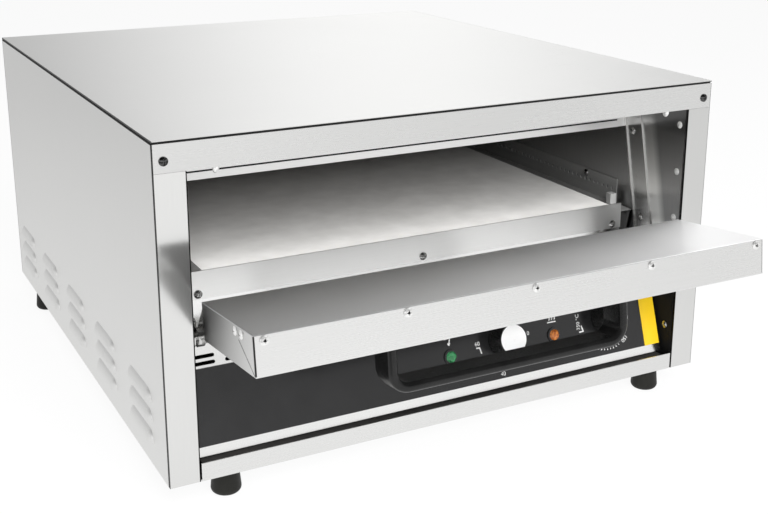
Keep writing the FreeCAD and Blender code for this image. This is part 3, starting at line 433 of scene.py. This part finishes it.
panel_ink = moulded("panel_ink", (0.70, 0.70, 0.69), (0.82, 0.82, 0.81), 0.45, 2600.0, 0.05)
timer_places = ((10, 45.0, 0.0303), (20, 90.0, 0.0285), (30, 135.0, 0.0303), (40, 189.0, 0.0350),
                (50, 225.0, 0.0303), (60, 270.0, 0.0303))
number_size = 0.0058
timer_marks = [ink_number(str(minutes), number_size, round_dial(timer_x, math.radians(turn), radius), 0.0)
               for minutes, turn, radius in timer_places]
timer_arc = np.radians(np.linspace(49.0, 59.0, 6))
timer_marks.append(ink_line(round_dial(timer_x, timer_arc, 0.0223), 0.0009))
timer_marks.append(ink_line([(0.0346, 0.0349), (0.0385, 0.0348), (0.0400, 0.0286)], 0.0013))
printed("timer_scale", timer_marks)

heat_turns = (("50", math.radians(62.0)), ("150", math.radians(141.0)), ("350 °C", math.radians(271.0)))
thermostat_marks = [ink_number(label, number_size, round_dial(thermostat_x, turn, 0.0340), -turn)
                    for label, turn in heat_turns]
for turn in np.radians(np.arange(157.0, 229.0, 6.5)):
    tick = round_dial(thermostat_x, turn, np.array([0.0328, 0.0345]))
    thermostat_marks.append(ink_line(tick, 0.0008))
thermostat_marks.append(ink_line([(0.1620, 0.0350), (0.1636, 0.0291), (0.1586, 0.0287)], 0.0014))
printed("thermostat_scale", thermostat_marks)

mains_sign = np.array([(0.0050, 0.0556), (0.0009, 0.0500), (0.0066, 0.0503), (0.0048, 0.0442)])
mains_tip = np.array([(0.0032, 0.0456), (0.0047, 0.0434), (0.0064, 0.0453)])
printed("mains_sign", [ink_line(mains_sign, 0.0012), ink_line(mains_tip, 0.0009)])
wave_rise = np.linspace(0.0, 1.0, 13)
heat_waves = [ink_line(np.stack([0.1268 + 0.0032 * step + 0.0009 * np.sin(2.0 * math.pi * wave_rise),
                                 0.0472 + 0.0075 * wave_rise], 1), 0.0010) for step in (-1, 0, 1)]
printed("heat_sign", heat_waves + [ink_line([(0.1212, 0.0452), (0.1316, 0.0452)], 0.0012)])

# Timer and thermostat with their knobs.
# Black phenolic knobs with fluted sides and a spun aluminium disc let into the face.
# A white line is painted in the groove that points to the scale.
switch_plastic = moulded("switch_plastic", (0.010, 0.010, 0.010), (0.022, 0.022, 0.022), 0.28, 1500.0, 0.1)
knob_plastic = moulded("knob_plastic", (0.006, 0.006, 0.006), (0.014, 0.014, 0.014), 0.25, 1500.0, 0.1)
knob_tree = knob_plastic.node_tree
knob_axes = axes_of(knob_plastic)
off_timer = maths(knob_tree, "ABSOLUTE", maths(knob_tree, "SUBTRACT", knob_axes["X"], timer_x), 0.0)
off_thermostat = maths(knob_tree, "ABSOLUTE", maths(knob_tree, "SUBTRACT", knob_axes["X"], thermostat_x), 0.0)
groove_half = 0.00078
groove_foot = 0.1060
off_groove = maths(knob_tree, "MINIMUM", off_timer, off_thermostat)
in_groove = below(knob_tree, off_groove, groove_half, blend=0.00004)
pointing_up = above(knob_tree, knob_axes["Z"], groove_foot)
painted(knob_plastic, maths(knob_tree, "MULTIPLY", in_groove, pointing_up), (0.80, 0.80, 0.79))
spun_disc = brushed_steel("spun_disc", (0.93, 0.93, 0.93), 0.45, ALONG_X, spread=0.03, stretch=0.0)
set_finish(spun_disc, "Metallic", 0.2)
for control in ("timer", "thermostat"):
    finish_node(control + "_body", switch_plastic)
    finish_node(control + "_knob", knob_plastic)
    finish_node(control + "_cap", spun_disc)
    finish_node(control + "_shaft", plated_steel)
finish_node("thermostat_bulb", plated_steel)

# Lamps.
# Coloured lenses in black bezels, moulded with small facets that catch the light.


def faceted_lens(name, deep, lit):
    """A lens: cells a millimetre or two across each take a tone of their own and tilt a little."""
    material, tree, shader, place = new_material(name)
    cells = linked(tree, "ShaderNodeTexVoronoi", Vector=place, Scale=520.0).outputs
    tone = linked(tree, "ShaderNodeSeparateColor", Color=cells["Color"]).outputs[0]
    tree.links.new(tinted(tree, tone, deep, lit), shader.inputs["Base Color"])
    relief = linked(tree, "ShaderNodeBump", Strength=0.7, Distance=0.0006, Height=cells["Distance"])
    tree.links.new(relief.outputs[0], shader.inputs["Normal"])
    shader.inputs["Roughness"].default_value = 0.12
    shader.inputs["Coat Weight"].default_value = 0.5
    return material


finish_node("lamp_housings", switch_plastic)
finish_node("green_lens", faceted_lens("green_lens", (0.008, 0.11, 0.035), (0.06, 0.38, 0.14)))
finish_node("amber_lens", faceted_lens("amber_lens", (0.32, 0.07, 0.008), (0.74, 0.25, 0.04)))

# Cable gland.
# Black nylon, moulded, with a nut that holds it in the back panel.
finish_node("cable_gland", switch_plastic)

# Door.
# A stainless pan and inner skin screwed together round a fibre filling, brushed along the width.
# The skin is painted lighter towards its right end as a painted reflection, and the pan's ends are painted
# darker towards the hinge as painted shade.
door_steel = brushed_steel("door_steel", (0.90, 0.90, 0.89), 0.28, ALONG_X)
skin_steel = brushed_steel("door_skin_steel", (0.67, 0.67, 0.67), 0.40, ALONG_X, stretch=0.9)
finish_node("door_pan", door_steel)
finish_node("door_inner_skin", skin_steel)
# Painted reflection: the skin lightens towards its right end.
painted_skin_reflection = ranged(skin_steel.node_tree, axes_of(skin_steel)["X"], 0.0, 1.0, 0.05, 0.19)
painted(skin_steel, painted_skin_reflection, (0.95, 0.95, 0.95))
door_half = 0.2555
door_tree = door_steel.node_tree
door_axes = axes_of(door_steel)
# Painted shade: the pan's ends darken towards the hinge.
on_end = above(door_tree, off_middle(door_steel), door_half - 0.0004)
end_shade = ranged(door_tree, door_axes["Y"], 0.14, 0.70, -0.385, -0.275)
painted(door_steel, maths(door_tree, "MULTIPLY", on_end, end_shade), (0.03, 0.03, 0.03))

# Door handle.
# One black moulded bridge, fixed to the door's outer face.
# The sides turned to the fingers are matt, the outer ones have a soft satin gloss.
handle_plastic = moulded("handle_plastic", (0.004, 0.004, 0.004), (0.008, 0.008, 0.008), 0.24, 1400.0, 0.05)
handle_tree = handle_plastic.node_tree
handle_facing = linked(handle_tree, "ShaderNodeSeparateXYZ",
                       Vector=handle_tree.nodes["Texture Coordinate"].outputs["Normal"]).outputs["Z"]
set_finish(handle_plastic, "Specular IOR Level", ranged(handle_tree, handle_facing, 0.36, 0.02, 0.15, 0.60))
finish_node("door_handle", handle_plastic)

# Hinges.
# Plated steel arms, pins, bushes and stop studs.
for node in ("left_hinge_arm", "right_hinge_arm", "hinge_pins", "hinge_bushes", "door_stops"):
    finish_node(node, plated_steel)

# Screws and rivets.
# Zinc plated pan heads with a cross recess, and low domed rivets in the recess.
# The middle of the recess in each of the door's front screws is painted dark as painted shade.
# A pair of blackened screws holds the lip at its upper corners; the cabinet's others have a darker plating.
door_tilt = math.radians(6.3)
door_foot = np.array([0.0, -0.2652235, 0.193776])
bright_zinc = brushed_steel("bright_zinc", (0.84, 0.84, 0.83), 0.30, ALONG_X, spread=0.05, stretch=0.0)
set_finish(bright_zinc, "Metallic", 0.65)
finish_node("wall_rivets", bright_zinc)
dark_plate = brushed_steel("dark_plate", (0.46, 0.46, 0.455), 0.12, ALONG_X, stretch=0.0)
finish_node("cabinet_screws", dark_plate)
screw_zinc = brushed_steel("screw_zinc", (0.84, 0.84, 0.83), 0.34, ALONG_X, spread=0.05, stretch=0.0)
screw_tree = screw_zinc.node_tree
set_finish(screw_zinc, "Metallic", 0.85)
screw_axes = axes_of(screw_zinc)
screw_pitch = 0.12325
off_screw = maths(screw_tree, "PINGPONG", screw_axes["X"], screw_pitch / 2)
height = maths(screw_tree, "ADD", maths(screw_tree, "MULTIPLY", screw_axes["Z"], math.cos(door_tilt)),
               maths(screw_tree, "MULTIPLY", screw_axes["Y"], math.sin(door_tilt)))
seat = door_foot[2] * math.cos(door_tilt) + door_foot[1] * math.sin(door_tilt) - 0.0052
off_seat = maths(screw_tree, "SUBTRACT", height, seat)
off_axis = maths(screw_tree, "ADD", maths(screw_tree, "MULTIPLY", off_screw, off_screw),
                 maths(screw_tree, "MULTIPLY", off_seat, off_seat))
# Painted shade in the middle of each front screw's recess.
painted(screw_zinc, ranged(screw_tree, off_axis, 1.0, 0.0, 0.9e-6, 2.2e-6), (0.02, 0.02, 0.02))
finish_node("door_screws", screw_zinc)
black_oxide = brushed_steel("black_oxide", (0.10, 0.10, 0.10), 0.14, ALONG_X, stretch=0.0)
finish_node("lip_screws", black_oxide)

# Top panel and front lip.
# The top is one flat sheet, brushed along the width; the lip closes its front edge.
# The cut edges of the top and the lip over the seams are painted black as painted shade.
top_steel = brushed_steel("top_steel", (0.84, 0.84, 0.83), 0.30, ALONG_X)
top_tree = top_steel.node_tree
top_axes = axes_of(top_steel)
top_half = 0.2896
top_edge_head = 0.3333
# Painted shade: the top's cut edges are painted black.
side_edge = above(top_tree, off_middle(top_steel), top_half)
front_edge = maths(top_tree, "MULTIPLY", below(top_tree, top_axes["Y"], front + 0.0002),
                   below(top_tree, top_axes["Z"], top_edge_head))
painted(top_steel, maths(top_tree, "MAXIMUM", side_edge, front_edge), seam_shade_black)
finish_node("top_panel", top_steel)
lip_steel = brushed_steel("lip_steel", cabinet_colour, 0.28, ALONG_X)
lip_tree = lip_steel.node_tree
# Painted shade: the lip's outer edges are painted black.
painted(lip_steel, above(lip_tree, off_middle(lip_steel), post_outer_edge), seam_shade_black)
finish_node("front_lip", lip_steel)

# Black beads in the seams of the cabinet, along the header strip and in the door's front corners, as painted
# shade.
# A thin black bead runs along each open joint, nearly flush, standing for the shade of the gap.


def bead_run(start, end, across, outward):
    """A bead as vertices and faces: half an ellipse over the joint, carried from one end to the other."""
    angle = np.linspace(0.0, math.pi, 9)
    ring = np.outer(np.cos(angle), across) + np.outer(np.sin(angle), outward)
    places = np.vstack([np.asarray(start, float) + ring, np.asarray(end, float) + ring])
    first = np.arange(9)
    after = np.roll(first, -1)
    quads = np.stack([first, after, after + 9, first + 9], 1)
    caps = [first[::-1].tolist(), (first + 9).tolist()]
    return places, quads.tolist() + caps


def outward_faces(piece):
    """Turns every face of a closed piece outward."""
    shell = bmesh.new()
    shell.from_mesh(piece.data)
    bmesh.ops.recalc_face_normals(shell, faces=shell.faces)
    shell.to_mesh(piece.data)
    shell.free()


def run_beads(name, runs, body):
    """Runs of equal vertex counts joined into one black piece of painted seam shade."""
    faces = [[corner + len(spots) * step for corner in face]
             for step, (spots, loops) in enumerate(runs) for face in loops]
    places = np.vstack([spots for spots, loops in runs])
    outward_faces(new_piece(name, places, faces, bead_shade_finish, body, "rubber"))


# Black beads as painted shade in the open joints.
bead_shade_finish = moulded("bead_shade_finish", (0.006, 0.006, 0.006), (0.012, 0.012, 0.012), 0.6, 900.0, 0.1)
seam_half = 0.00068
bead_rise = 0.0008
seam_foot = 0.0262
seam_head = 0.3313
top_seam = 0.3321
corner_setback = 0.0019
top_setback = 0.0012
cabinet_runs = []
for hand in (-1.0, 1.0):
    for seam_y in (front + corner_setback, back - corner_setback):
        cabinet_runs.append(bead_run((hand * side, seam_y, seam_foot), (hand * side, seam_y, seam_head),
                                     (0.0, seam_half, 0.0), (hand * bead_rise, 0.0, 0.0)))
    cabinet_runs.append(bead_run((hand * side, front + top_setback, top_seam),
                                 (hand * side, back - top_setback, top_seam),
                                 (0.0, 0.0, seam_half), (hand * bead_rise, 0.0, 0.0)))
cabinet_runs.append(bead_run((-side, front + top_setback, top_seam), (side, front + top_setback, top_seam),
                             (0.0, 0.0, seam_half), (0.0, -bead_rise, 0.0)))
mouth_lean = math.radians(12.8)
header_z = 0.2797
header_y = -0.1681
header_end = 0.2480
header_bead_half = 0.0008
header_bead_rise = 0.0002
header_up = np.array([0.0, math.sin(mouth_lean), math.cos(mouth_lean)])
header_out = np.array([0.0, -math.cos(mouth_lean), math.sin(mouth_lean)])
cabinet_runs.append(bead_run((-header_end, header_y, header_z), (header_end, header_y, header_z),
                             header_bead_half * header_up, header_bead_rise * header_out))
run_beads("seam_shade_beads", cabinet_runs, "cabinet")

door_axes_in_row = np.array([[1.0, 0.0, 0.0],
                             [0.0, math.cos(door_tilt), -math.sin(door_tilt)],
                             [0.0, math.sin(door_tilt), math.cos(door_tilt)]])
door_front = -0.11802
door_runs = []
for hand in (-1.0, 1.0):
    corner_x = hand * (door_half - 0.0006)
    run = bead_run((corner_x, door_front + 0.0006, -0.0326), (corner_x, door_front + 0.0006, -0.0008),
                   (hand * 0.00045, 0.00045, 0.0), (hand * 0.0003, -0.0003, 0.0))
    door_runs.append((door_foot + run[0] @ door_axes_in_row, run[1]))
run_beads("door_corner_shade_beads", door_runs, "door")

# Folded corner flaps of the door.
# The cut edge of each flap shows on the door's end as a fine black slanting line, a painted shadow line, down
# to the front corner.
# Painted shadow: black lines along the flaps' cut edges.
flap_marks = []
for hand in (-1.0, 1.0):
    places, loops = ink_line([(-0.0860, -0.0110), (door_front + 0.0012, -0.0325)], 0.0004)
    on_door = np.stack([hand * (door_half + places[:, 2]), places[:, 0], places[:, 1]], 1)
    flap_marks.append((door_foot + on_door @ door_axes_in_row, loops))
run_beads("door_flap_shade_lines", flap_marks, "door")

# Painted shade behind the bottom rail.
# A dark grey strip that lies in the slot between the rail and the fascia, a little below both, standing for
# the shade in the slot.
# Painted shade: a dark grey strip in the slot.
slot_shade_rubber = moulded("slot_shade_rubber", (0.036, 0.035, 0.034), (0.050, 0.048, 0.046), 0.55, 1100.0, 0.1)
slot_shade_end = 0.2570
slot_shade_profile = np.array([(front + 0.0013, 0.0365), (front + 0.0013, 0.0385), (front + 0.0210, 0.0385),
                         (front + 0.0210, 0.0365)])
slot_shade_places = np.vstack([np.column_stack([np.full(4, x), slot_shade_profile]) for x in (-slot_shade_end, slot_shade_end)])
slot_shade_faces = [[step, (step + 1) % 4, (step + 1) % 4 + 4, step + 4] for step in range(4)]
outward_faces(new_piece("rail_slot_shade", slot_shade_places, slot_shade_faces + [[0, 1, 2, 3], [4, 5, 6, 7]], slot_shade_rubber,
                        "cabinet", "rubber"))

# Rivets under the front lip.
# Two bright domed rivets close the lip's hem to the header, near its ends.


def rivet_dome(centre, radius, height):
    """A dome as vertices and faces: a quarter ellipse turned about a downward axis."""
    rise = np.linspace(0.0, 0.5 * math.pi, 7)[:-1, None]
    turn = np.linspace(0.0, 2.0 * math.pi, 24, endpoint=False)[None, :]
    rings = np.stack([radius * np.cos(rise) * np.cos(turn), radius * np.cos(rise) * np.sin(turn),
                      -height * np.sin(rise) + 0.0 * turn], -1).reshape(-1, 3)
    places = np.vstack([rings, (0.0, 0.0, -height)]) + np.asarray(centre, float)
    index = np.arange(6 * 24).reshape(6, 24)
    beside = np.roll(index, -1, axis=1)
    quads = np.stack([index[:-1], index[1:], beside[1:], beside[:-1]], -1).reshape(-1, 4)
    tip = np.stack([index[-1], np.full(24, 6 * 24), beside[-1]], 1)
    return places, quads.tolist() + tip.tolist() + [index[0].tolist()]


lip_bottom = 0.307
rivet_out = 0.2362
rivet_setback = 0.0035
for hand, name in ((-1.0, "left_lip_rivet"), (1.0, "right_lip_rivet")):
    dome = rivet_dome((hand * rivet_out, front + rivet_setback, lip_bottom), radius=0.0032, height=0.0058)
    new_piece(name, *dome, bright_zinc, "cabinet", "plated_steel")

# Floor, light and camera.
# A sheet of pale studio paper under a white surround, with one broad soft lamp above and one in front.
# Metal mirrors the surround: brightest behind the oven and low in front, dark higher up in front.
floor_mesh = bpy.data.meshes.new("floor")
floor_half = 6.0
floor_mesh.from_pydata([(-floor_half, -floor_half, 0), (floor_half, -floor_half, 0),
                        (floor_half, floor_half, 0), (-floor_half, floor_half, 0)], [], [(0, 1, 2, 3)])
floor = bpy.data.objects.new("floor", floor_mesh)
bpy.context.scene.collection.objects.link(floor)
floor_finish, floor_tree, floor_shader, floor_place = new_material("floor_paper")
floor_shader.inputs["Base Color"].default_value = (0.86, 0.86, 0.86, 1.0)
floor_shader.inputs["Roughness"].default_value = 0.9
rays = floor_tree.nodes.new("ShaderNodeLightPath").outputs
floor_axes = axes_of(floor_finish)
floor_back = ranged(floor_tree, floor_axes["Y"], 0.97, 0.66, -0.40, 1.60)
floor_right = ranged(floor_tree, floor_axes["X"], 0.0, 0.20, 0.1, 0.80)
floor_left = maths(floor_tree, "MULTIPLY", ranged(floor_tree, floor_axes["X"], 0.77, 0.0, -0.36, -0.27),
                   ranged(floor_tree, floor_axes["Y"], 1.0, 0.0, -0.71, -0.57))
floor_sides = maths(floor_tree, "ADD", floor_right, floor_left)
floor_fall = maths(floor_tree, "SUBTRACT", maths(floor_tree, "SUBTRACT", floor_back, floor_sides), 1.0)
floor_level = maths(floor_tree, "ADD", maths(floor_tree, "MULTIPLY", floor_fall, rays["Is Glossy Ray"]), 1.0)
floor_glow = linked(floor_tree, "ShaderNodeEmission", Color=(1.0, 1.0, 1.0, 1.0), Strength=floor_level)
floor_share = maths(floor_tree, "ADD", maths(floor_tree, "MULTIPLY", rays["Is Camera Ray"], 0.91),
                    maths(floor_tree, "MULTIPLY", rays["Is Glossy Ray"], 0.95))
floor_mix = linked(floor_tree, "ShaderNodeMixShader", _0=floor_share,
                   _1=floor_shader.outputs[0], _2=floor_glow.outputs[0])
floor_tree.links.new(floor_mix.outputs[0], floor_tree.nodes["Material Output"].inputs["Surface"])
floor_mesh.materials.append(floor_finish)

world = bpy.data.worlds.new("studio")
bpy.context.scene.world = world
world.use_nodes = True
sky = world.node_tree
surround = sky.nodes["Background"]
surround.inputs["Color"].default_value = (1.0, 1.0, 1.0, 1.0)
sky_rays = sky.nodes.new("ShaderNodeLightPath").outputs
sky_place = sky.nodes.new("ShaderNodeTexCoord").outputs["Generated"]
toward = linked(sky, "ShaderNodeSeparateXYZ", Vector=sky_place).outputs


def eased(value, low, high):
    """A smooth step from 0 to 1 between two values."""
    node = linked(sky, "ShaderNodeMapRange", Value=value, _1=low, _2=high, _3=0.0, _4=1.0)
    node.interpolation_type = "SMOOTHSTEP"
    return node.outputs[0]


back_band = maths(sky, "MULTIPLY", eased(toward["X"], 0.10, 0.42), eased(toward["X"], 0.74, 0.44))
back_glow = maths(sky, "MULTIPLY", maths(sky, "MULTIPLY", back_band, eased(toward["Y"], 0.0, 0.3)), 0.62)
front_glow = maths(sky, "MULTIPLY", eased(toward["Y"], 0.1, -0.4), 0.46)
right_glow = maths(sky, "MULTIPLY", maths(sky, "MULTIPLY", eased(toward["X"], 0.42, 0.66),
                                          eased(toward["Z"], 0.45, 0.80)), 2.0)
low_glow = maths(sky, "MULTIPLY", maths(sky, "MULTIPLY", eased(toward["X"], 0.0, -0.25),
                                        eased(toward["Z"], 0.40, 0.10)), 0.40)
glow = maths(sky, "ADD", maths(sky, "ADD", back_glow, front_glow), maths(sky, "ADD", low_glow, 0.52))
gap = maths(sky, "MULTIPLY", eased(toward["Z"], 0.18, 0.34), eased(toward["Y"], 0.05, -0.45))
dimmed = maths(sky, "SUBTRACT", 1.0, maths(sky, "MULTIPLY", gap, 0.94))
mirrored = maths(sky, "ADD", maths(sky, "MULTIPLY", glow, dimmed), right_glow)
plain = maths(sky, "MAXIMUM", sky_rays["Is Camera Ray"], sky_rays["Is Transmission Ray"])
seen = linked(sky, "ShaderNodeMix", _0=plain, _2=0.42, _3=1.0)
sky_level = linked(sky, "ShaderNodeMix", _0=sky_rays["Is Glossy Ray"], _2=seen.outputs[0], _3=mirrored)
sky.links.new(sky_level.outputs[0], surround.inputs["Strength"])


def soft_lamp(name, place, aim, size, power):
    """A square area lamp at a place, turned to a point, that metal doesn't mirror."""
    light = bpy.data.lights.new(name, "AREA")
    light.energy = power
    light.size = size
    lamp = bpy.data.objects.new(name, light)
    bpy.context.scene.collection.objects.link(lamp)
    lamp.location = place
    offset = np.subtract(aim, place)
    flat = math.hypot(offset[0], offset[1])
    lamp.rotation_euler = (math.atan2(flat, -offset[2]), 0.0, math.atan2(-offset[0], offset[1]))
    lamp.visible_glossy = False


soft_lamp("lamp_above", (0.2, -0.2, 2.2), (0.0, 0.0, 0.2), 2.0, 16.0)
soft_lamp("lamp_front", (-0.3, -2.2, 1.6), (0.0, -0.1, 0.15), 1.7, 116.0)

camera_data = bpy.data.cameras.new("camera")
camera = bpy.data.objects.new("camera", camera_data)
bpy.context.scene.collection.objects.link(camera)
bpy.context.scene.camera = camera
camera_data.sensor_width = 36.0
camera_data.lens = 56.054
camera_data.shift_y = -0.08
camera_data.clip_end = 50.0
camera.location = (-0.5512, -1.1661, 0.5540)
camera.rotation_euler = (math.radians(90.0 - 15.97), 0.0, math.radians(-27.42))
bpy.context.scene.view_settings.view_transform = "Standard"
